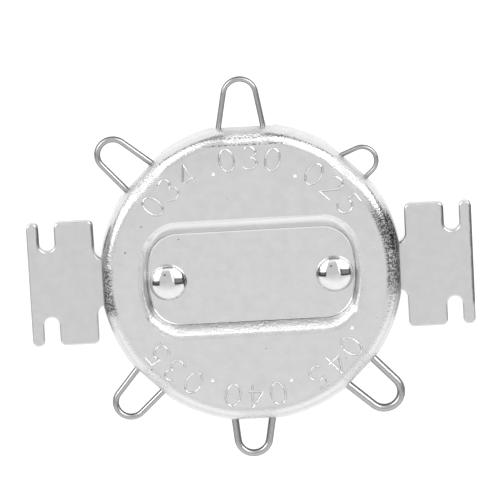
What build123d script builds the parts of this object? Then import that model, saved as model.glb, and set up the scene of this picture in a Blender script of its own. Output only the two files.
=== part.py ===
"""Round spark plug gap gauge: a pressed case with six wire loops and two electrode bending tabs."""
import math
import os
from dataclasses import dataclass

from build123d import *

# Every length is in millimetres. The gauge lies on its back: the back plate is on z = 0,
# the numbered face looks up, and the two tabs point along X.

# Pressed sheet case
case_radius = 21.2              # round stretches of the skirt, from the axis
station_depth = 0.3             # flats of the skirt at the stations, below its round stretches
stations = 8
case_sheet = 0.6
case_shoulder = 1.8             # outer radius between face and skirt
nest_gap = 0.05                 # back plate inside the skirt
notch_side_gap = 0.2            # beside the widest loop in its notch
notch_corner = 0.7              # rounded corners of the lugs that the notches leave

# Recess pressed into the face and, mirrored, into the back plate
recess_depth = 1.3
recess_floor_end = 14.6         # the ends of the floor are arcs round the axis, with this radius
recess_floor_side = 6.5         # from the axis to a long side of the floor
recess_floor_corner = 4.2
recess_end_run = 0.45           # slope of the two ends, measured along the face
recess_side_run = 1.65          # slope of the two long sides, measured along the face
recess_lip_radius = 1.2
recess_foot_radius = 0.3

# Electrode bending tabs
tab_sheet = 1.2
tab_width = 9.4                 # block and prongs, measured along X
tab_height = 17.8
tab_corner = 0.8
tab_prong = 1.75                # width of the outer prong
tab_slot = 2.15                 # width of the bending slots
tab_slot_depth = 4.15
tab_gap = 0.9                   # between the flat of the skirt and the block of the tab
tab_neck = 6.6
tab_neck_fillet = 1.3
tab_edge_roll = 0.25            # front edge, rolled over by blanking

# Rivets
rivet_head = 5.3
rivet_head_height = 1.25
rivet_drop = 0.4                # the rivets sit below the middle of the recess
rivet_shank = 2.8
rivet_tail = 4.4
rivet_tail_height = 0.9
rivet_end_gap = 0.25            # between the head and the end of the recess floor
rivet_hole_gap = 0.05           # around the shank

# Wire loops
inch = 25.4
wire_gap = 0.05                 # above and below a wire in its notch
foot_length = 1.9               # hidden end of a leg, bent outward behind the skirt
foot_setback = 1.0              # between the foot and the inside of the skirt
foot_bend = 0.8                 # inside radius of the bend between leg and foot


@dataclass
class Loop:
    """One wire gauge loop. Sideways sizes grow clockwise as seen from the front."""

    gauge: float                # wire diameter in inches
    station: float              # direction in degrees from X
    spread: float               # between the legs where they leave the case
    offset: float               # middle of the legs, sideways from the station
    crown: float                # centre of the bow, sideways from the station
    bow: float                  # centre line radius of the bow
    out: float                  # how far the loop stands out of the flat of its station

    @property
    def wire(self):
        return self.gauge * inch

    @property
    def label(self):
        return f"wire_loop_{self.gauge * 1000:03.0f}"


loops = [
    Loop(gauge=0.025, station=45, spread=4.63, offset=0.57, crown=0.95, bow=2.00, out=3.55),
    Loop(gauge=0.030, station=90, spread=6.20, offset=-0.40, crown=-0.32, bow=2.27, out=7.10),
    Loop(gauge=0.034, station=135, spread=5.20, offset=-0.36, crown=-0.45, bow=2.20, out=7.35),
    Loop(gauge=0.035, station=225, spread=4.90, offset=0.02, crown=-0.13, bow=2.15, out=7.25),
    Loop(gauge=0.040, station=270, spread=5.45, offset=0.72, crown=0.90, bow=2.25, out=6.20),
    Loop(gauge=0.045, station=315, spread=5.25, offset=0.53, crown=0.50, bow=2.40, out=7.85),
]

# Worked out from the sizes above
station_angle = 360 / stations
station_flat = case_radius - station_depth
case_depth = tab_sheet + 2 * (recess_depth + case_sheet)    # the tabs are clamped between the recesses
tab_bottom = case_sheet + recess_depth
tab_top = tab_bottom + tab_sheet
tab_block = station_flat + tab_gap                          # inner edge of the block, from the axis
tab_reach = tab_block + tab_width                           # outer edge of the prongs, from the axis
rivet_x = recess_floor_end - rivet_end_gap - rivet_head / 2
widest_leg = max(abs(loop.offset) + (loop.spread + loop.wire) / 2 for loop in loops)
notch_width = 2 * (max(widest_leg, tab_neck / 2) + notch_side_gap)

os.makedirs("parts", exist_ok=True)


def case_outline(plane, inset):
    """Outline of the case, a circle with a flat at each station, drawn smaller by the inset."""
    with BuildSketch(plane) as outline:
        Circle(case_radius - inset)
        RegularPolygon(
            station_flat - inset,
            stations,
            major_radius=False,
            rotation=station_angle / 2,
            mode=Mode.INTERSECT,
        )
    return outline.sketch


def recess_outline(plane, end, side, corner):
    """Outline of the recess: two straight sides, two ends that are arcs round the axis, rounded corners."""
    with BuildSketch(plane) as outline:
        Circle(end)
        Rectangle(2 * end, 2 * side, mode=Mode.INTERSECT)
        fillet(outline.vertices(), corner)
    return outline.sketch.face()


def recess_form(mouth, grow_end=0, grow_side=0):
    """Sections of the pressed recess, at its mouth and at its floor, along the mouth plane's normal."""
    floor_end = recess_floor_end + grow_end
    floor_side = recess_floor_side + grow_side
    lip_corner = recess_floor_corner + recess_end_run / 2
    return [
        recess_outline(mouth, floor_end + recess_end_run, floor_side + recess_side_run, lip_corner),
        recess_outline(mouth.offset(recess_depth), floor_end, floor_side, recess_floor_corner),
    ]


def press_recess(face, inside):
    """Press the recess into a sheet: a boss on its inside, then the hollow in its face."""
    # the wall keeps the sheet's thickness, so the boss is wider than the hollow by this much
    grow_end = case_sheet * math.tan(math.atan2(recess_depth, recess_end_run) / 2)
    grow_side = case_sheet * math.tan(math.atan2(recess_depth, recess_side_run) / 2)
    loft(recess_form(inside, grow_end, grow_side))
    loft(recess_form(face), mode=Mode.SUBTRACT)


def notch_profile(plane, height):
    """Opening in the skirt at a station, with the corners of the lugs beside it rounded."""
    flare = notch_width / 2 + notch_corner
    with BuildSketch(plane) as notch:
        Rectangle(notch_width, height, align=(Align.CENTER, Align.MIN))
        Rectangle(2 * flare, notch_corner, align=(Align.CENTER, Align.MIN))
        with Locations((-flare, notch_corner), (flare, notch_corner)):
            Circle(notch_corner, mode=Mode.SUBTRACT)
    return notch.sketch


def station_plane(station):
    """Plane outside the skirt at a station, Y up from the back, its normal pointing at the axis."""
    outward = Vector(1, 0, 0).rotate(Axis.Z, station)
    return Plane(origin=outward * case_radius, x_dir=outward.cross(Vector(0, 0, 1)), z_dir=-outward)


def soften_recess(shell, mouth, floor):
    """Round the lip and the foot of the recess on both sides of the sheet, given two face heights."""
    outside = {mouth[0]: recess_lip_radius, mouth[1]: recess_lip_radius - case_sheet}
    for height, radius in outside.items():
        fillet(flat_at(shell, height).inner_wires()[0].edges(), radius)
    inside = {floor[0]: recess_foot_radius, floor[1]: recess_foot_radius + case_sheet}
    for height, radius in inside.items():
        fillet(flat_at(shell, height).outer_wire().edges(), radius)


def flat_at(piece, height):
    """The level face of a piece at a height."""
    return piece.faces().filter_by(Axis.Z).sort_by(lambda face: abs(face.center().Z - height))[0]


# Front shell: a cup with the recess in its face and a notch in its skirt at each station
notch_heights = {loop.station: case_sheet + loop.wire + 2 * wire_gap for loop in loops}
notch_heights |= {0: tab_top + wire_gap, 180: tab_top + wire_gap}
front_inside = case_depth - case_sheet

with BuildPart() as front_shell:
    extrude(case_outline(Plane.XY, 0), amount=case_depth)
    fillet(front_shell.faces().sort_by(Axis.Z)[-1].edges(), case_shoulder)
    extrude(case_outline(Plane.XY, case_sheet), amount=front_inside, mode=Mode.SUBTRACT)
    fillet(flat_at(front_shell, front_inside).edges(), case_shoulder - case_sheet)
    press_recess(
        face=Plane(origin=(0, 0, case_depth), z_dir=(0, 0, -1)),
        inside=Plane(origin=(0, 0, front_inside), z_dir=(0, 0, -1)),
    )
    soften_recess(
        front_shell,
        mouth=(case_depth, front_inside),
        floor=(case_depth - recess_depth, front_inside - recess_depth),
    )
    for station, height in notch_heights.items():
        extrude(
            notch_profile(station_plane(station), height),
            amount=station_depth + 2 * case_sheet,
            mode=Mode.SUBTRACT,
        )
    with Locations((-rivet_x, -rivet_drop, case_depth), (rivet_x, -rivet_drop, case_depth)):
        Hole(rivet_shank / 2 + rivet_hole_gap)
front_shell.part.label = "front_shell"

# Back plate: it nests inside the skirt, with the same recess pressed in from behind
with BuildPart() as back_plate:
    extrude(case_outline(Plane.XY, case_sheet + nest_gap), amount=case_sheet)
    press_recess(face=Plane.XY, inside=Plane.XY.offset(case_sheet))
    soften_recess(back_plate, mouth=(0, case_sheet), floor=(recess_depth, tab_bottom))
    with Locations((-rivet_x, -rivet_drop, tab_bottom), (rivet_x, -rivet_drop, tab_bottom)):
        Hole(rivet_shank / 2 + rivet_hole_gap)
back_plate.part.label = "back_plate"

# Electrode bending tabs: a slotted blade outside the case, on a tongue that the rivet holds inside
slot_middle = tab_reach - tab_prong - tab_slot / 2
slot_end = tab_height / 2 - tab_slot_depth + tab_slot / 2

with BuildPart() as tab_right:
    with BuildSketch(Plane.XY.offset(tab_bottom)) as blank:
        with Locations(((tab_block + tab_reach) / 2, 0)):
            Rectangle(tab_reach - tab_block, tab_height)
        with Locations(((rivet_x + tab_block) / 2, 0)):
            Rectangle(tab_block - rivet_x, tab_neck)
        inner_corners = blank.vertices().filter_by_position(Axis.X, tab_block, tab_block)
        fillet(inner_corners.filter_by_position(Axis.Y, -tab_neck, tab_neck), tab_neck_fillet)
        with Locations((rivet_x, 0)):
            Circle(tab_neck / 2)
        for side in (-1, 1):
            with Locations((slot_middle, side * tab_height / 2)):
                Rectangle(tab_slot, 2 * (tab_height / 2 - slot_end), mode=Mode.SUBTRACT)
            with Locations((slot_middle, side * slot_end)):
                Circle(tab_slot / 2, mode=Mode.SUBTRACT)
        ends = blank.vertices().group_by(Axis.Y)
        fillet(ends[0] + ends[-1], tab_corner)
        with Locations((rivet_x, -rivet_drop)):
            Circle(rivet_shank / 2 + rivet_hole_gap, mode=Mode.SUBTRACT)
    extrude(amount=tab_sheet)
    fillet(flat_at(tab_right, tab_top).outer_wire().edges(), tab_edge_roll)
tab_right.part.label = "tab_right"

with BuildPart() as tab_left:
    add(mirror(tab_right.part, about=Plane.YZ))
tab_left.part.label = "tab_left"

# Rivets: a domed head in the front recess, and a tail closed over the floor of the back recess
head_seat = case_depth - recess_depth
tail_seat = recess_depth
head_top = head_seat + rivet_head_height
tail_end = tail_seat - rivet_tail_height

with BuildPart() as rivet:
    with BuildSketch(Plane.XZ) as section:
        with BuildLine():
            Spline(
                (0, head_top),
                (rivet_head / 2, head_seat),
                tangents=((1, 0), (0, -1)),
                tangent_scalars=(1.5, 0.7),     # a round dome whose edge turns down steeply
            )
            Polyline(
                (rivet_head / 2, head_seat),
                (rivet_shank / 2, head_seat),
                (rivet_shank / 2, tail_seat),
                (rivet_tail / 2, tail_seat),
            )
            TangentArc((0, tail_end), (rivet_tail / 2, tail_seat), tangent=(1, 0))
            Line((0, tail_end), (0, head_top))
        make_face()
    revolve(axis=Axis.Z)

with BuildPart() as rivets:
    with Locations((-rivet_x, -rivet_drop), (rivet_x, -rivet_drop)):
        add(rivet.part)
rivets.part.label = "rivets"


def leg_path(loop, side):
    """Corners of a leg on one side: the end of its foot, its bend, and its touch on the bow."""
    root = Vector(loop.offset + side * loop.spread / 2, station_flat)
    centre = Vector(loop.crown, station_flat + loop.out - loop.wire / 2 - loop.bow)
    away = root - centre
    half_view = math.degrees(math.acos(loop.bow / away.length))
    touch = centre + away.normalized().rotate(Axis.Z, side * half_view) * loop.bow
    foot_line = station_flat - case_sheet - foot_setback - loop.wire / 2
    slope = (touch.X - root.X) / (touch.Y - root.Y)
    bend_x = root.X + slope * (foot_line - root.Y)
    return (bend_x + side * foot_length, foot_line), (bend_x, foot_line), (touch.X, touch.Y)


# Wire loops: each lies on the back plate, comes out through its notch and goes round a bow
all_loops = []
for loop in loops:
    height = case_sheet + wire_gap + loop.wire / 2
    level = Plane(
        origin=(0, 0, height),
        x_dir=Vector(1, 0, 0).rotate(Axis.Z, loop.station - 90),
        z_dir=(0, 0, 1),
    )
    bend_radius = foot_bend + loop.wire / 2
    left_leg, right_leg = leg_path(loop, -1), leg_path(loop, 1)
    crown_top = (loop.crown, station_flat + loop.out - loop.wire / 2)
    with BuildPart() as wire_loop:
        with BuildLine(level):
            FilletPolyline(*left_leg, radius=bend_radius)
            ThreePointArc(left_leg[-1], crown_top, right_leg[-1])
            FilletPolyline(*reversed(right_leg), radius=bend_radius)
        with BuildSketch(Plane(origin=level.from_local_coords(left_leg[0]), z_dir=level.x_dir)):
            Circle(loop.wire / 2)
        sweep()
    wire_loop.part.label = loop.label
    all_loops.append(wire_loop)

for piece in (front_shell, back_plate, tab_left, tab_right, rivets, *all_loops):
    export_step(piece.part, f"parts/{piece.part.label}.step")
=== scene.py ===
"""Looks of a round spark plug gap gauge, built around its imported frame."""

import math
from collections import defaultdict
from functools import reduce

import bmesh
import bpy
from mathutils import Matrix, Vector


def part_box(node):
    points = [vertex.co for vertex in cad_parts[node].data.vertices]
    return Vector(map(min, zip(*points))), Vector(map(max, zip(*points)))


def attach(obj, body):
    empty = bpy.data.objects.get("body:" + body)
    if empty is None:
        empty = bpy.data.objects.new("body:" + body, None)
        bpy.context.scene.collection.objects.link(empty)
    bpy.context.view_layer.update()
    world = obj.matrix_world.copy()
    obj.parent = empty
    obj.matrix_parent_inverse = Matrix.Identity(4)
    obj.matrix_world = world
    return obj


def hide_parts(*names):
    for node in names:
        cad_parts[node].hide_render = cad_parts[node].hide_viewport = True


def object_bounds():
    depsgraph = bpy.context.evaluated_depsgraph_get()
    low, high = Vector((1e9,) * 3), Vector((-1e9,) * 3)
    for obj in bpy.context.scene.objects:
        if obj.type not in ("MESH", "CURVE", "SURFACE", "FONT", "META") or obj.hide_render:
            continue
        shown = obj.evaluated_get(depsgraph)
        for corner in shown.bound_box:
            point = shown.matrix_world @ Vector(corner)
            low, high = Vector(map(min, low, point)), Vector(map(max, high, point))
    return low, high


bl_info = {
    "name": "Spark plug gap gauge",
    "version": (1, 0, 0),
    "blender": (4, 5, 0),
    "location": "3D View > Sidebar > Gap gauge",
    "description": "Stamped gap sizes, plated steel finishes and a studio for a round spark plug gap gauge",
    "category": "Object",
}

MM = 0.001
BODY = "root"

# Sizes of the textures in the finishes, in millimetres
PEEL_SIZE = 0.28                    # orange peel of stretched sheet
GRAIN_SIZE = 0.13                   # grain of the plating
WAVE_SIZE = 5.0                     # slow waves of rolled sheet

# Where the finish of the case changes, in millimetres: where a blend starts and where it is full
RIM = (18.8, 19.8)                  # radii at the start of the drawn shoulder
INSIDE_RIM = (18.6, 18.0)           # radii
EDGE = (18.7, 19.3)                 # radii of the scuffed edge of the face, partly painted dark reflection
LIP = (4.99, 4.8)                   # heights at the top of the walls of the recess
FOOT = (3.72, 3.85)                 # heights at the bottom of the walls of the recess
UPPER_WALL = (6.0, 6.8)             # along Y, the long wall on the +Y side
WALL_END = (12.5, 14.5)             # along X, where the long walls pass into the end walls

# Other sizes of the finish of the case, in millimetres
BULGE_RISE = 1.2                    # height over which the long walls bulge
CROWN_START = 16.0                  # radius from which the face falls away towards its edge
PAINTED_REFLECTION_LINES = (19.1, 20.0)              # places along Y of the two painted dark reflection lines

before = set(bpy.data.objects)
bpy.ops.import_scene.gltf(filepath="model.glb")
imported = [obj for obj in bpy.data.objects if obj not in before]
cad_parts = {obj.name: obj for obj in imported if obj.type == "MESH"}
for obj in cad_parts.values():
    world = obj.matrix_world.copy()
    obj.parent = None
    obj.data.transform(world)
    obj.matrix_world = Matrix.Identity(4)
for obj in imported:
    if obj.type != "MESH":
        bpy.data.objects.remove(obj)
cad_low, cad_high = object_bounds()
face_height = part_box("front_shell")[1].z


class Signal:
    """An output socket of a node tree that takes part in Python arithmetic."""

    def __init__(self, tree, socket):
        self.tree = tree
        self.socket = socket

    def apply(self, operation, *values):
        """Add a Math node for an operation on these values."""
        node = self.tree.nodes.new("ShaderNodeMath")
        node.operation = operation
        for socket, value in zip(node.inputs, values):
            if isinstance(value, Signal):
                self.tree.links.new(value.socket, socket)
            else:
                socket.default_value = value
        return Signal(self.tree, node.outputs[0])

    def math(self, operation, *others):
        """Add a Math node for an operation on this signal and others."""
        return self.apply(operation, self, *others)

    def __add__(self, other):
        return self.math("ADD", other)

    __radd__ = __add__

    def __sub__(self, other):
        return self.math("SUBTRACT", other)

    def __rsub__(self, other):
        return self.apply("SUBTRACT", other, self)

    def __mul__(self, other):
        return self.math("MULTIPLY", other)

    __rmul__ = __mul__

    def most(self, other):
        """The larger of two values."""
        return self.math("MAXIMUM", other)


class Shader:
    """A node tree that is filled by one method."""

    def __init__(self, tree):
        self.tree = tree
        tree.nodes.clear()

    def add(self, kind, settings=None, sockets=None, output=0):
        """Add a node: its settings first, then the values or signals of its sockets."""
        node = self.tree.nodes.new(kind)
        for name, value in (settings or {}).items():
            if name == "stops":
                self.set_stops(node.color_ramp, value)
            else:
                setattr(node, name, value)
        for name, value in (sockets or {}).items():
            if isinstance(value, Signal):
                self.tree.links.new(value.socket, node.inputs[name])
            else:
                node.inputs[name].default_value = value
        return Signal(self.tree, node.outputs[output]) if node.outputs else node

    @staticmethod
    def set_stops(ramp, stops):
        """Give a colour ramp its stops, each a position and a grey."""
        while len(ramp.elements) < len(stops):
            ramp.elements.new(1)
        for element, (position, grey) in zip(ramp.elements, stops):
            element.position = position
            element.color = (grey, grey, grey, 1)

    def noise(self, place, size, detail=2.0, roughness=0.5):
        """Noise whose features are about this many millimetres across, where place is in millimetres."""
        return self.add(
            "ShaderNodeTexNoise",
            sockets={"Vector": place, "Scale": 1 / size, "Detail": detail, "Roughness": roughness},
        )

    def step(self, value, low, high, start=0.0, end=1.0):
        """Smooth step of a value from start to end between low and high."""
        return self.add(
            "ShaderNodeMapRange",
            {"interpolation_type": "SMOOTHSTEP"},
            {"Value": value, "From Min": low, "From Max": high, "To Min": start, "To Max": end},
        )

    def near(self, value, centre, outer, inner):
        """1 where a value is within inner of the centre, down to 0 where it is outer away."""
        return self.step((value - centre).math("ABSOLUTE"), outer, inner)

    def place_mm(self):
        """Place on the object in millimetres."""
        place = self.add("ShaderNodeTexCoord", output=3)
        return self.add(
            "ShaderNodeVectorMath",
            {"operation": "SCALE"},
            {"Vector": place, "Scale": 1 / MM},
        )

    def parts(self, vector):
        """The x, y and z of a vector."""
        node = self.add("ShaderNodeSeparateXYZ", sockets={"Vector": vector}).socket.node
        return [Signal(self.tree, socket) for socket in node.outputs]

    def tint(self, color, dark, amount):
        """Mix of a dark colour, at amount 0, with a colour or a mixed colour, at amount 1."""
        light = color if isinstance(color, Signal) else (*color, 1)
        return self.add(
            "ShaderNodeMix",
            {"data_type": "RGBA"},
            {0: amount, 6: (*dark, 1), 7: light},
            output=2,
        )

    def bump(self, height, rise_mm):
        """Normal of a relief, where a height of 1 rises this many millimetres."""
        return self.add(
            "ShaderNodeBump",
            sockets={"Strength": 1.0, "Distance": rise_mm * MM, "Height": height},
        )


def new_material(name):
    """A material with an empty node tree, and the shader that fills it."""
    material = bpy.data.materials.new(name)
    material.use_nodes = True
    return material, Shader(material.node_tree)


def finish_steel(shader, color, roughness, normal):
    """Close a steel's node tree with its surface and its output."""
    surface = shader.add(
        "ShaderNodeBsdfPrincipled",
        sockets={"Base Color": color, "Metallic": 1.0, "Roughness": roughness, "Normal": normal},
    )
    shader.add("ShaderNodeOutputMaterial", sockets={"Surface": surface})


def dulled(color, share):
    """A colour at a share of its brightness."""
    return [c * share for c in color]


def case_steel(finish):
    """Plated deep drawn sheet: satin on the flats, rough orange peel where the sheet was stretched."""
    material, shader = new_material("plated_case_steel")
    place = shader.place_mm()
    x, y, z = shader.parts(place)
    radius = shader.add("ShaderNodeVectorMath", {"operation": "LENGTH"}, {
        0: shader.add("ShaderNodeCombineXYZ", sockets={0: x, 1: y}),
    }, output=1)
    # Where the sheet was drawn: the rim with its eight flats, and the walls of the recess
    station = shader.step((y.math("ARCTAN2", x) * 8).math("COSINE"), 0.2, 0.8)
    rim = shader.step(radius, *RIM)
    wall = shader.step(z, *LIP) * shader.step(z, *FOOT) * shader.step(radius, *INSIDE_RIM)
    upper_wall = wall * shader.step(y, *UPPER_WALL)
    drawn = rim.most(wall)
    torn = (rim * (0.2 + 0.6 * station)).most(0.4 * (wall - upper_wall))
    # The long walls bulge, the end walls hardly do
    swell = ((z - FOOT[0]) * (math.pi / BULGE_RISE)).math("SINE") * wall
    swell = swell * shader.step(x.math("ABSOLUTE"), *WALL_END, 1.0, 0.2)
    # Dark scuffs on the rim at its right and left ends, partly painted dark reflection
    right_scuff_and_painted_reflection = shader.step(x, 0, 1) * shader.near(y, 3.0, 7.5, 4.0)
    left_scuff_and_painted_reflection = shader.step(x, 0, -1) * shader.near(y, -1.0, 4.2, 2.6)
    left_scuff_and_painted_reflection = left_scuff_and_painted_reflection * shader.step(radius, 19.2, 19.8)
    scuffed_and_painted_reflection = shader.step(radius, *EDGE) * (right_scuff_and_painted_reflection + left_scuff_and_painted_reflection)
    # Two painted dark reflection lines along the rim on its +Y side
    painted_reflection_lines = reduce(Signal.most, [shader.near(y, painted_line, 0.16, 0.08) for painted_line in PAINTED_REFLECTION_LINES])
    painted_reflection_lines = painted_reflection_lines * shader.near(x, 0.5, 6.5, 4.5)
    # Relief
    crown = (radius - CROWN_START).most(0)
    peel = shader.noise(place, PEEL_SIZE, detail=3, roughness=0.6)
    grain = shader.noise(place, GRAIN_SIZE, detail=2)
    waves = shader.noise(place, WAVE_SIZE, detail=1)
    height = peel * (0.03 + 0.06 * drawn + 2.0 * torn) + 0.02 * grain + 0.2 * waves
    height = height - 0.055 * crown * crown + 1.1 * swell
    # Cloudy plating with dull specks, darker in the peel where the sheet was torn, dark scale in pits and
    # scuffs that is partly painted dark reflection, and painted dark reflection lines on the rim
    clouds = shader.noise(place, 1.8, detail=5, roughness=0.65)
    specks = shader.step(shader.noise(place, 0.55, detail=1), 0.80, 0.84)
    pits_and_painted_reflection = shader.step(shader.noise(place, 0.6, detail=1), 0.21, 0.18)
    clean = clouds * (1 - 0.9 * specks) - 0.5 * (torn * peel)
    color = shader.tint(finish.case_color, dulled(finish.case_color, finish.case_soil), clean)
    scuffs_and_painted_reflection = scuffed_and_painted_reflection * shader.step(peel, 0.6, 0.42, 0.35, 1.0)
    # Painted dark reflection, in dots along the two lines
    painted_reflection_dots = painted_reflection_lines * shader.step(peel, 0.56, 0.46)
    # Darken towards the dark colour: dark scale in the pits and scuffs, partly painted dark reflection, and
    # painted dark reflection along the rim lines
    scale_and_painted_reflection = (0.6 * pits_and_painted_reflection).most(0.95 * scuffs_and_painted_reflection).most(0.6 * painted_reflection_dots)
    color = shader.tint(color, finish.scale_and_painted_reflection_color, 1 - scale_and_painted_reflection)
    roughness = finish.case_roughness + 0.10 * (clouds - 0.5)
    roughness = roughness + (finish.drawn_roughness - finish.case_roughness) * drawn + 0.12 * wall
    finish_steel(shader, color, roughness, shader.bump(height, 0.1))
    return material


PAINTED_DARK_EDGES = [
    # edges of the tabs that face right, rolled over, with a painted dark reflection: place along X and lowest
    # Y, in millimetres
    (-29.45, 4.9),
    (-21.8, 4.4),
    (27.3, 4.9),
    (31.2, -6.5),
]


def tab_steel(finish):
    """Plated flat sheet, smoother than the drawn case, with faint rolling streaks and a painted dark
    reflection along the rolled edges that face right.
    """
    material, shader = new_material("plated_tab_steel")
    place = shader.place_mm()
    x, y = shader.parts(place)[:2]
    stretched = shader.add("ShaderNodeVectorMath", {"operation": "MULTIPLY"}, {0: place, 1: (0.25, 1, 1)})
    streaks = shader.noise(stretched, 0.5, detail=3)
    clouds = shader.noise(place, 1.4, detail=5, roughness=0.65)
    grain = shader.noise(place, GRAIN_SIZE, detail=2)
    waves = shader.noise(place, WAVE_SIZE, detail=1)
    specks = shader.step(shader.noise(place, 0.5, detail=1), 0.80, 0.84)
    clean = clouds * (1 - 0.9 * specks)
    color = shader.tint(finish.tab_color, dulled(finish.tab_color, finish.case_soil), clean)
    ragged = x + 0.35 * (clouds - 0.5)
    painted_dark_bands = []
    for edge, lowest in PAINTED_DARK_EDGES:
        painted_dark_band = shader.step(ragged, edge - 0.45, edge - 0.25) * shader.step(x, edge + 0.08, edge + 0.04)
        painted_dark_bands.append(painted_dark_band * shader.step(y, lowest, lowest + 1.2))
    # Painted dark reflection along the rolled edges that face right
    color = shader.tint(color, finish.scale_and_painted_reflection_color, 1 - 0.75 * reduce(Signal.most, painted_dark_bands))
    roughness = finish.tab_roughness + 0.10 * (clouds - 0.5)
    height = 0.15 * streaks + 0.08 * grain + 0.5 * waves
    finish_steel(shader, color, roughness, shader.bump(height, 0.03))
    return material


def rivet_steel(finish):
    """Bright rivet with a few shallow marks of its setting tool."""
    material, shader = new_material("bright_rivet_steel")
    place = shader.place_mm()
    marks = shader.step(shader.noise(place, 0.9, detail=2), 0.62, 0.7)
    clouds = shader.noise(place, 0.8, detail=3)
    color = shader.tint(finish.rivet_color, dulled(finish.rivet_color, 0.85), clouds)
    roughness = finish.rivet_roughness + 0.06 * (clouds - 0.5) + 0.06 * marks
    height = clouds - 0.3 * marks
    finish_steel(shader, color, roughness, shader.bump(height, 0.008))
    return material


def wire_steel(finish):
    """Hard drawn spring wire: its own colour on top and below, and a painted dark reflection on its flanks.
    """
    material, shader = new_material("drawn_wire_steel")
    place = shader.place_mm()
    facing = shader.parts(shader.add("ShaderNodeNewGeometry", output=1))[2]
    marks = shader.noise(place, 0.22, detail=4, roughness=0.65)
    # Painted dark reflection on the flanks, where the normal lies level, broken up by the marks
    clear_of_painted_reflection = shader.step(facing.math("ABSOLUTE") + 0.25 * (marks - 0.5), 0.3, 0.9)
    color = shader.tint(finish.wire_color, finish.scale_and_painted_reflection_color, clear_of_painted_reflection * (0.75 + 0.5 * marks))
    roughness = finish.wire_roughness + 0.14 * (marks - 0.5)
    finish_steel(shader, color, roughness, shader.bump(marks, 0.008))
    return material


def assign(material, *nodes):
    """Give CAD nodes a finish in every one of their material slots."""
    for node in nodes:
        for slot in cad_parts[node].material_slots:
            slot.material = material


def arc_points(centre, radii, start, end, steps=14):
    """Points along an elliptical arc between two angles in degrees."""
    turn = [math.radians(start + (end - start) * i / steps) for i in range(steps + 1)]
    return [(centre[0] + radii[0] * math.cos(a), centre[1] + radii[1] * math.sin(a)) for a in turn]


def glyph_strokes(glyph):
    """Centre lines of a figure in a box one wide and one high, each a list of points and if it closes."""
    if glyph == "0":
        return [(arc_points((0.5, 0.5), (0.5, 0.5), 0, 337.5, 15), True)]
    if glyph == "2":
        top = arc_points((0.5, 0.74), (0.46, 0.26), 165, -35, 10)
        return [(top + [(0.02, 0)], False), ([(0.02, 0), (1, 0)], False)]
    if glyph == "3":
        upper = arc_points((0.48, 0.765), (0.42, 0.235), 150, -80, 10)
        lower = arc_points((0.48, 0.27), (0.5, 0.27), 80, -150, 12)
        return [(upper, False), (lower, False)]
    if glyph == "4":
        stem, slope, bar = [(0.72, 0), (0.72, 1)], [(0.72, 1), (0, 0.3)], [(0, 0.3), (1, 0.3)]
        return [(stem, False), (slope, False), (bar, False)]
    if glyph == "5":
        bowl = arc_points((0.47, 0.32), (0.5, 0.32), 125, -145, 12)
        return [([(0.9, 1), (0.22, 1)], False), ([(0.22, 1)] + bowl, False)]
    raise ValueError(f"no strokes for {glyph!r}")


def number_angle(index, middle, pitch):
    """Direction of a figure of a three figure number that reads clockwise round the face."""
    return math.radians(middle + (1 - index) * pitch)


def on_face(point, angle, numbers):
    """Place on the face of a point of a figure, in metres."""
    across = (point[0] - 0.5) * numbers.figure_width
    up = (point[1] - 0.5) * numbers.figure_height
    outward = Vector((math.cos(angle), math.sin(angle), 0))
    clockwise = Vector((math.sin(angle), -math.cos(angle), 0))
    return outward * (numbers.ring_radius + up) + clockwise * across + Vector((0, 0, face_height))


GROOVE_SECTION = [
    # across in half widths of the stroke, up in its depths: a round bottom that opens above the face
    (1.7, 1.0), (1.0, 0.0), (0.55, -0.72), (0.0, -1.0), (-0.55, -0.72), (-1.0, 0.0), (-1.7, 1.0),
]


def add_groove(mesh, path, closed, width, depth):
    """Add the solid that cuts a groove of this width and depth along a path on the face."""
    rings = []
    last = len(path) - 1
    for i, point in enumerate(path):
        before = path[i - 1] if i or closed else point
        after = path[(i + 1) % len(path)] if i < last or closed else point
        along = (after - before).normalized()
        side = Vector((-along.y, along.x, 0)) * width / 2
        rings.append([
            mesh.verts.new(point + side * across + Vector((0, 0, depth * up)))
            for across, up in GROOVE_SECTION
        ])
    pairs = list(zip(rings, rings[1:]))
    if closed:
        pairs.append((rings[-1], rings[0]))
    corners = len(GROOVE_SECTION)
    for a, b in pairs:
        for j in range(corners):
            k = (j + 1) % corners
            mesh.faces.new((a[j], a[k], b[k], b[j]))
    if not closed:
        mesh.faces.new(rings[0][::-1])
        mesh.faces.new(rings[-1])


def add_pit(mesh, centre, width, depth, corners=10):
    """Add the cone that cuts a round pit of this width, the point before a number."""
    over = Vector((0, 0, depth))
    rim = []
    for i in range(corners):
        turn = math.tau * i / corners
        rim.append(mesh.verts.new(centre + Vector((math.cos(turn), math.sin(turn), 0)) * width + over))
    tip = mesh.verts.new(centre - over)
    mesh.faces.new(rim)
    for a, b in zip(rim, rim[1:] + rim[:1]):
        mesh.faces.new((b, a, tip))


STROKES = 3                         # the most strokes that a figure has
POINT_LEAD = 0.75                   # from the point to the first figure, in steps from figure to figure
POINT_PLACE = (0.5, 0.08)           # of the point in the box of a figure
NUMBERS = [
    # figures, direction of the middle figure in degrees, and if a point stands before them
    ("034", 129.5, False),
    ("030", 88.0, True),
    ("025", 46.0, True),
    ("045", 311.0, True),
    ("040", 269.0, True),
    ("035", 228.0, True),
]


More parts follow.
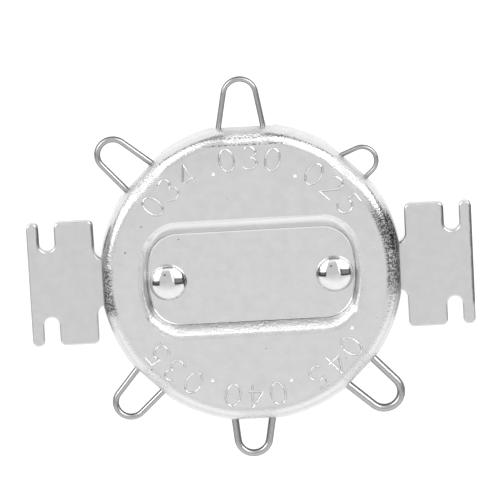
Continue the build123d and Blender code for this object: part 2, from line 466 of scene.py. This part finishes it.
def number_cutters(numbers):
    """Objects with the grooves of all the numbers, where no two grooves of one object meet."""
    meshes = [bmesh.new() for _ in range(STROKES)]
    for figures, middle, has_point in NUMBERS:
        for index, glyph in enumerate(figures):
            angle = number_angle(index, middle, numbers.figure_pitch)
            for mesh, (points, closed) in zip(meshes, glyph_strokes(glyph)):
                path = [on_face(p, angle, numbers) for p in points]
                add_groove(mesh, path, closed, numbers.groove_width, numbers.groove_depth)
        if has_point:
            angle = number_angle(-POINT_LEAD, middle, numbers.figure_pitch)
            centre = on_face(POINT_PLACE, angle, numbers)
            add_pit(meshes[0], centre, numbers.point_width, numbers.groove_depth)
    cutters = []
    for mesh in meshes:
        bmesh.ops.recalc_face_normals(mesh, faces=mesh.faces)
        data = bpy.data.meshes.new("number_cutter")
        mesh.to_mesh(data)
        mesh.free()
        cutter = bpy.data.objects.new("number_cutter", data)
        bpy.context.scene.collection.objects.link(cutter)
        cutters.append(cutter)
    return cutters


def vertex_key(place):
    """A place rounded to a hundredth of a micrometre, for looking it up."""
    return tuple(round(c * 1e8) for c in place)


def carry_normals(piece, source, depth):
    """Give an engraved copy its source's smooth normals, and flat ones on the face and in the grooves."""
    known = defaultdict(list)
    for loop in source.data.loops:
        place = source.data.vertices[loop.vertex_index].co
        known[vertex_key(place)].append(source.data.corner_normals[loop.index].vector.copy())
    normals = []
    for polygon in piece.data.polygons:
        heights = [piece.data.vertices[v].co.z for v in polygon.vertices]
        near_face = min(heights) > face_height - depth * 1.01
        for v in polygon.vertices:
            choices = [] if near_face else known[vertex_key(piece.data.vertices[v].co)]
            # a normal more than 60 degrees off the facet's belongs to another side of an edge
            best = max(choices, key=lambda n: n.dot(polygon.normal), default=polygon.normal)
            normals.append(best if best.dot(polygon.normal) > 0.5 else polygon.normal)
    piece.data.polygons.foreach_set("use_smooth", [True] * len(piece.data.polygons))
    piece.data.normals_split_custom_set(normals)


def engraved_copy(node, cutters, name):
    """A copy of a CAD node with the cutters taken away, one after the other."""
    piece = bpy.data.objects.new(name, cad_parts[node].data.copy())
    bpy.context.scene.collection.objects.link(piece)
    for cutter in cutters:
        boolean = piece.modifiers.new("engrave", "BOOLEAN")
        boolean.operation = "DIFFERENCE"
        boolean.solver = "EXACT"
        boolean.object = cutter
    evaluated = piece.evaluated_get(bpy.context.evaluated_depsgraph_get())
    engraved = bpy.data.meshes.new_from_object(evaluated)
    piece.modifiers.clear()
    piece.data = engraved
    for cutter in cutters:
        bpy.data.objects.remove(cutter)
    return piece


class GaugeFinish(bpy.types.PropertyGroup):
    """Colours and roughness of the gauge's steels."""

    case_color: bpy.props.FloatVectorProperty(
        name="Case colour", description="Colour of the plated case", subtype="COLOR",
        default=(0.69, 0.69, 0.69), min=0, max=1,
    )
    case_soil: bpy.props.FloatProperty(
        name="Soil", description="Brightness of the plating where it is dull or soiled",
        default=0.84, min=0, max=1,
    )
    drawn_roughness: bpy.props.FloatProperty(
        name="Drawn roughness", description="Roughness where the sheet was drawn", default=0.17, min=0, max=1,
    )
    case_roughness: bpy.props.FloatProperty(
        name="Case roughness", description="Roughness of the plated case", default=0.26, min=0, max=1,
    )
    tab_color: bpy.props.FloatVectorProperty(
        name="Tab colour", description="Colour of the bending tabs", subtype="COLOR",
        default=(0.635, 0.635, 0.635), min=0, max=1,
    )
    tab_roughness: bpy.props.FloatProperty(
        name="Tab roughness", description="Roughness of the bending tabs", default=0.3, min=0, max=1,
    )
    rivet_color: bpy.props.FloatVectorProperty(
        name="Rivet colour", description="Colour of the rivets", subtype="COLOR",
        default=(0.68, 0.68, 0.68), min=0, max=1,
    )
    rivet_roughness: bpy.props.FloatProperty(
        name="Rivet roughness", description="Roughness of the rivets", default=0.06, min=0, max=1,
    )
    wire_color: bpy.props.FloatVectorProperty(
        name="Wire colour", description="Colour of the wire loops", subtype="COLOR",
        default=(0.38, 0.38, 0.38), min=0, max=1,
    )
    # Also the colour of the painted dark reflection on the wires' flanks, the tabs' right-facing edges and
    # the rim's lines, and of the dark scale with painted dark reflection in the case's pits and scuffs
    scale_and_painted_reflection_color: bpy.props.FloatVectorProperty(
        name="Scale colour", subtype="COLOR",
        description="Colour of the dark scale on wires, scuffs, creases and rolled edges",
        default=(0.07, 0.07, 0.07), min=0, max=1,
    )
    wire_roughness: bpy.props.FloatProperty(
        name="Wire roughness", description="Roughness of the wire loops", default=0.3, min=0, max=1,
    )


class GaugeNumbers(bpy.types.PropertyGroup):
    """Sizes of the numbers stamped round the face."""

    ring_radius: bpy.props.FloatProperty(
        name="Ring radius", description="Middle of the figures, from the axis",
        default=17.2 * MM, unit="LENGTH", precision=5,
    )
    figure_height: bpy.props.FloatProperty(
        name="Figure height", description="Height of a figure", default=3.25 * MM, unit="LENGTH", precision=5,
    )
    figure_width: bpy.props.FloatProperty(
        name="Figure width", description="Width of a figure", default=2.05 * MM, unit="LENGTH", precision=5,
    )
    figure_pitch: bpy.props.FloatProperty(
        name="Figure pitch", description="Degrees from one figure to the next", default=10.7,
    )
    groove_width: bpy.props.FloatProperty(
        name="Groove width", description="Width of a stamped stroke",
        default=0.34 * MM, unit="LENGTH", precision=5,
    )
    point_width: bpy.props.FloatProperty(
        name="Point width", description="Width of the point before a number",
        default=0.5 * MM, unit="LENGTH", precision=5,
    )
    groove_depth: bpy.props.FloatProperty(
        name="Groove depth", description="Depth of a stamped stroke",
        default=0.14 * MM, unit="LENGTH", precision=5,
    )


class GaugeStage(bpy.types.PropertyGroup):
    """Floor, light and camera."""

    floor_color: bpy.props.FloatVectorProperty(
        name="Floor colour", description="Colour of the pale floor", subtype="COLOR",
        default=(0.95, 0.95, 0.95), min=0, max=1,
    )
    floor_glow: bpy.props.FloatProperty(
        name="Floor glow", description="Strength of the pale floor's own glow", default=0.9, min=0,
    )
    floor_gap: bpy.props.FloatProperty(
        name="Floor gap", description="Keeps the floor clear of the rim that rests on it",
        default=0.03 * MM, unit="LENGTH", precision=5,
    )
    floor_size: bpy.props.FloatProperty(
        name="Floor size", description="Side of the square floor", default=4.0, unit="LENGTH",
    )
    light_level: bpy.props.FloatProperty(
        name="Light level", description="Strength of the studio's light", default=1.0, min=0,
    )
    camera_distance: bpy.props.FloatProperty(
        name="Camera distance", description="From the middle of the face to the camera",
        default=0.7, unit="LENGTH",
    )
    camera_pitch: bpy.props.FloatProperty(
        name="Camera pitch", description="Tilt of the view away from straight down",
        default=math.radians(14), subtype="ANGLE",
    )
    camera_roll: bpy.props.FloatProperty(
        name="Camera roll", description="Turn of the picture about the line of sight",
        default=math.radians(3.1), subtype="ANGLE",
    )
    pixels_per_mm: bpy.props.FloatProperty(
        name="Pixels per millimetre", description="Scale of the picture at the middle of the face",
        default=7.15,
    )


PICTURE_SIDE = 500                  # pixels
FACE_PIXEL = (251.6, 277.7)         # where the middle of the face stands in the picture


class GAPGAUGE_OT_front_shell(bpy.types.Operator):
    """Stamp the gap sizes into the front shell and give it its plated finish"""

    bl_idname = "gap_gauge.front_shell"
    bl_label = "Front shell"

    def execute(self, context):
        scene = context.scene
        cutters = number_cutters(scene.gauge_numbers)
        piece = engraved_copy("front_shell", cutters, "stamped_front_shell")
        carry_normals(piece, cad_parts["front_shell"], scene.gauge_numbers.groove_depth)
        piece.data.materials.clear()
        piece.data.materials.append(case_steel(scene.gauge_finish))
        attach(piece, BODY)
        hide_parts("front_shell")
        return {"FINISHED"}


class GAPGAUGE_OT_back_plate(bpy.types.Operator):
    """Give the back plate its plated finish"""

    bl_idname = "gap_gauge.back_plate"
    bl_label = "Back plate"

    def execute(self, context):
        assign(tab_steel(context.scene.gauge_finish), "back_plate")
        return {"FINISHED"}


class GAPGAUGE_OT_tabs(bpy.types.Operator):
    """Give the two bending tabs their plated finish"""

    bl_idname = "gap_gauge.tabs"
    bl_label = "Bending tabs"

    def execute(self, context):
        assign(tab_steel(context.scene.gauge_finish), "tab_left", "tab_right")
        return {"FINISHED"}


class GAPGAUGE_OT_rivets(bpy.types.Operator):
    """Give the rivets their bright finish"""

    bl_idname = "gap_gauge.rivets"
    bl_label = "Rivets"

    def execute(self, context):
        assign(rivet_steel(context.scene.gauge_finish), "rivets")
        return {"FINISHED"}


class GAPGAUGE_OT_wire_loops(bpy.types.Operator):
    """Give the wire gauge loops their drawn finish"""

    bl_idname = "gap_gauge.wire_loops"
    bl_label = "Wire loops"

    def execute(self, context):
        loops = [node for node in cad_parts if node.startswith("wire_loop_")]
        assign(wire_steel(context.scene.gauge_finish), *loops)
        return {"FINISHED"}


def light_studio(stage):
    """Light the scene with a studio whose brightness is set by direction, for what the steel reflects."""
    world = bpy.data.worlds.new("studio")
    bpy.context.scene.world = world
    world.use_nodes = True
    shader = Shader(world.node_tree)
    toward = shader.add("ShaderNodeTexCoord", output=0)
    x, y, z = shader.parts(toward)
    # Directions in degrees: tilt from straight up towards +Y, side from straight up towards +X
    degrees = 180 / math.pi
    tilt = y.math("ARCTAN2", z) * degrees
    side = x.math("ARCSINE") * degrees
    # Two softboxes with a grey gap between them, dimmer near the horizon except on the diagonals
    away = (side + 9).math("ABSOLUTE")
    gap = shader.step(away + 0.12 * tilt, 20, 25, 1, 0)
    boxes = shader.step(tilt, 40, 62, 3.0, 1.6)
    boxes = boxes * (1 - gap) + gap * shader.step(tilt, 30, 60, 0.75, 1.5)
    diagonal = shader.step(x.math("ABSOLUTE"), 0.3, 0.45) * shader.step(y, 0.15, 0.3)
    diagonal = diagonal * shader.step(z, 0.25, 0.33)
    boxes = boxes * (0.33 + 0.82 * shader.step(z, 0.46, 0.62).most(1.7 * diagonal))
    # A post towards +X and a lens between the boxes, both seen in the rivets
    post = shader.step(side, 13, 16) * shader.step(side, 24, 20) * shader.step(tilt, 32, 24)
    lens = shader.near(side, -11, 5, 3) * shader.step(tilt, 15, 17) * shader.step(tilt, 24, 22)
    upper = boxes * (1 - 0.6 * post) * (1 - 0.75 * lens)
    # A pale sweep towards -Y, which the face reflects to the camera
    low = shader.step(y, -0.14, -0.19)
    sweep = shader.step(tilt, -12, -40, 0.96, 1.4)
    sweep = sweep * shader.step(z, 0.05, 0.4, 0.75, 1.0)
    level = low * sweep + (1 - low) * upper
    # Dark stands towards +X and -X, dark room beyond them, and a dark horizon except towards -Y
    stands = shader.step(y, -0.32, -0.26)
    right_stand = stands * shader.step(x, 0.26, 0.34) * shader.step(y, 0.14, 0.08)
    left_stand = stands * shader.step(x, -0.42, -0.5) * shader.step(y, 0.0, -0.04)
    right_dark = shader.step(side, 56, 64)
    left_dark = shader.step(side, -64, -72)
    horizon = shader.step(z, 0.30, 0.18) * shader.step(y, -0.25, -0.05)
    dark = (0.9 * right_stand).most(0.92 * left_stand).most(0.85 * right_dark).most(0.75 * left_dark)
    dark = dark.most(0.8 * horizon)
    level = level * (1 - dark)
    background = shader.add(
        "ShaderNodeBackground",
        sockets={"Color": (1, 1, 1, 1), "Strength": level * stage.light_level},
    )
    shader.add("ShaderNodeOutputWorld", sockets={"Surface": background})


def add_floor(stage):
    """A plain pale floor that shows its colour by its own glow and reflects little light."""
    mesh = bmesh.new()
    bmesh.ops.create_grid(mesh, x_segments=1, y_segments=1, size=stage.floor_size / 2)
    data = bpy.data.meshes.new("floor")
    mesh.to_mesh(data)
    mesh.free()
    floor = bpy.data.objects.new("floor", data)
    floor.location.z = cad_low.z - stage.floor_gap
    bpy.context.scene.collection.objects.link(floor)
    material, shader = new_material("pale_floor")
    surface = shader.add(
        "ShaderNodeBsdfPrincipled",
        sockets={
            "Base Color": (*dulled(stage.floor_color, 0.3), 1),
            "Roughness": 0.9,
            "Specular IOR Level": 0.1,
            "Emission Color": (*stage.floor_color, 1),
            "Emission Strength": stage.floor_glow,
        },
    )
    shader.add("ShaderNodeOutputMaterial", sockets={"Surface": surface})
    data.materials.append(material)


def add_camera(stage):
    """Look down on the face from the photograph's angle, with the object where the picture has it."""
    pitch, roll = stage.camera_pitch, stage.camera_roll
    back = Vector((0, math.sin(pitch), math.cos(pitch)))
    level_right, level_up = Vector((1, 0, 0)), Vector((0, math.cos(pitch), -math.sin(pitch)))
    right = level_right * math.cos(roll) - level_up * math.sin(roll)
    up = level_right * math.sin(roll) + level_up * math.cos(roll)
    pixel = MM / stage.pixels_per_mm
    centre = PICTURE_SIDE / 2
    aim = Vector((0, 0, face_height))
    aim -= right * (FACE_PIXEL[0] - centre) * pixel
    aim += up * (FACE_PIXEL[1] - centre) * pixel
    data = bpy.data.cameras.new("camera")
    data.lens = data.sensor_width / PICTURE_SIDE * stage.camera_distance / pixel
    data.clip_start, data.clip_end = 0.01, 10
    camera = bpy.data.objects.new("camera", data)
    turn = Matrix((right, up, back)).transposed()
    camera.matrix_world = Matrix.Translation(aim + back * stage.camera_distance) @ turn.to_4x4()
    bpy.context.scene.collection.objects.link(camera)
    bpy.context.scene.camera = camera


class GAPGAUGE_OT_stage(bpy.types.Operator):
    """Set up the studio light, the floor and the camera"""

    bl_idname = "gap_gauge.stage"
    bl_label = "Stage"

    def execute(self, context):
        stage = context.scene.gauge_stage
        light_studio(stage)
        add_floor(stage)
        add_camera(stage)
        context.scene.view_settings.view_transform = "Standard"
        return {"FINISHED"}


class GAPGAUGE_PT_panel(bpy.types.Panel):
    """The gauge's pieces and their sizes"""

    bl_label = "Gap gauge"
    bl_space_type = "VIEW_3D"
    bl_region_type = "UI"
    bl_category = "Gap gauge"

    def draw(self, context):
        for group in (context.scene.gauge_finish, context.scene.gauge_numbers, context.scene.gauge_stage):
            column = self.layout.column(align=True)
            for name in group.bl_rna.properties.keys():
                if name not in {"rna_type", "name"}:
                    column.prop(group, name)
        for operator in OPERATORS:
            self.layout.operator(operator.bl_idname)


GROUPS = {"gauge_finish": GaugeFinish, "gauge_numbers": GaugeNumbers, "gauge_stage": GaugeStage}
OPERATORS = (
    GAPGAUGE_OT_front_shell,
    GAPGAUGE_OT_back_plate,
    GAPGAUGE_OT_tabs,
    GAPGAUGE_OT_rivets,
    GAPGAUGE_OT_wire_loops,
    GAPGAUGE_OT_stage,
)


def register():
    for name, group in GROUPS.items():
        bpy.utils.register_class(group)
        setattr(bpy.types.Scene, name, bpy.props.PointerProperty(type=group))
    for operator in OPERATORS:
        bpy.utils.register_class(operator)
    bpy.utils.register_class(GAPGAUGE_PT_panel)


def unregister():
    bpy.utils.unregister_class(GAPGAUGE_PT_panel)
    for operator in reversed(OPERATORS):
        bpy.utils.unregister_class(operator)
    for name, group in reversed(GROUPS.items()):
        delattr(bpy.types.Scene, name)
        bpy.utils.unregister_class(group)


def main():
    """Make every piece in order."""
    register()
    for operator in OPERATORS:
        group, action = operator.bl_idname.split(".")
        getattr(getattr(bpy.ops, group), action)()


if __name__ == "__main__":
    main()
